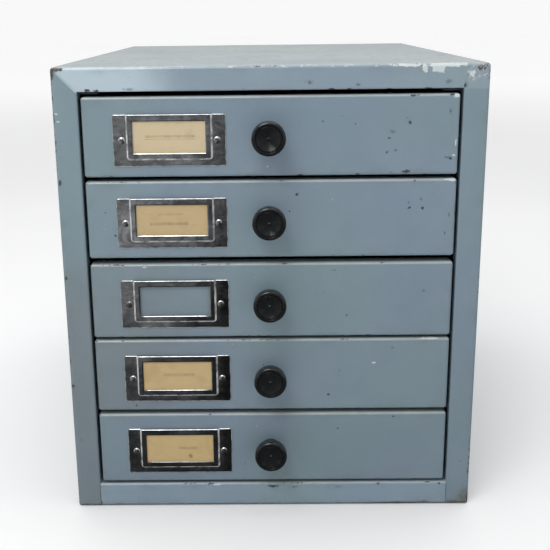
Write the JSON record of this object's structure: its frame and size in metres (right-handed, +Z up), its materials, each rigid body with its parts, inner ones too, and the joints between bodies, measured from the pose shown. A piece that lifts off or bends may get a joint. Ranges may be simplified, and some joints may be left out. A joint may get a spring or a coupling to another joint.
{
  "type": "parts organizer cabinet",
  "caption": "Free-standing painted steel cabinet of shallow sliding drawers, each with a riveted metal card holder and a round moulded knob.",
  "frame": {"origin": "middle of the footprint (case with its knobs), on the surface that the cabinet stands on", "axes": "+X to the viewer's right facing the drawers, +Y into the cabinet from its front, +Z up"},
  "size_m": [0.292, 0.4236, 0.323],
  "materials": {
    "case_enamel": "semi-gloss blue-grey enamel, chipped and rusted along its edges",
    "front_enamel": "semi-gloss blue-grey enamel with small chips",
    "tray_enamel": "thin semi-gloss enamel, worn inside",
    "runner_steel": "enamel rubbed bright along the ledges",
    "knob_moulding": "polished black thermoset with fine turning rings",
    "brass": "machined",
    "screw_steel": "zinc-plated, slotted",
    "holder_chrome": "bright plating with light tarnish",
    "rivet_metal": "bright domed heads",
    "card_stock": "aged cream card"
  },
  "bodies": {
    "cabinet": {"cabinet_shell": "case_enamel", "back_panel": "case_enamel", "base_panel": "case_enamel", "bottom_rail": "case_enamel", "runner_left_1": "runner_steel", "runner_left_2": "runner_steel", "runner_left_3": "runner_steel", "runner_left_4": "runner_steel", "runner_left_5": "runner_steel", "runner_right_1": "runner_steel", "runner_right_2": "runner_steel", "runner_right_3": "runner_steel", "runner_right_4": "runner_steel", "runner_right_5": "runner_steel", "kicker_left": "runner_steel", "kicker_right": "runner_steel"},
    "drawer_1": {"drawer_tray_1": "tray_enamel", "drawer_front_1": "front_enamel", "knob_1": "knob_moulding", "knob_insert_1": "brass", "knob_screw_1": "screw_steel", "label_frame_1": "holder_chrome", "label_rivets_1": "rivet_metal", "label_card_1": "card_stock"},
    "drawer_2": {"drawer_tray_2": "tray_enamel", "drawer_front_2": "front_enamel", "knob_2": "knob_moulding", "knob_insert_2": "brass", "knob_screw_2": "screw_steel", "label_frame_2": "holder_chrome", "label_rivets_2": "rivet_metal", "label_card_2": "card_stock"},
    "drawer_3": {"drawer_tray_3": "tray_enamel", "drawer_front_3": "front_enamel", "knob_3": "knob_moulding", "knob_insert_3": "brass", "knob_screw_3": "screw_steel", "label_frame_3": "holder_chrome", "label_rivets_3": "rivet_metal"},
    "drawer_4": {"drawer_tray_4": "tray_enamel", "drawer_front_4": "front_enamel", "knob_4": "knob_moulding", "knob_insert_4": "brass", "knob_screw_4": "screw_steel", "label_frame_4": "holder_chrome", "label_rivets_4": "rivet_metal", "label_card_4": "card_stock"},
    "drawer_5": {"drawer_tray_5": "tray_enamel", "drawer_front_5": "front_enamel", "knob_5": "knob_moulding", "knob_insert_5": "brass", "knob_screw_5": "screw_steel", "label_frame_5": "holder_chrome", "label_rivets_5": "rivet_metal", "label_card_5": "card_stock"}
  },
  "joints": [
    {"name": "drawer_1_slide", "type": "slide", "parent": "cabinet", "child": "drawer_1", "axis": [0, -1, 0], "range_m": [0, 0.29]},
    {"name": "drawer_2_slide", "type": "slide", "parent": "cabinet", "child": "drawer_2", "axis": [0, -1, 0], "range_m": [0, 0.29]},
    {"name": "drawer_3_slide", "type": "slide", "parent": "cabinet", "child": "drawer_3", "axis": [0, -1, 0], "range_m": [0, 0.29]},
    {"name": "drawer_4_slide", "type": "slide", "parent": "cabinet", "child": "drawer_4", "axis": [0, -1, 0], "range_m": [0, 0.29]},
    {"name": "drawer_5_slide", "type": "slide", "parent": "cabinet", "child": "drawer_5", "axis": [0, -1, 0], "range_m": [0, 0.29]}
  ]
}
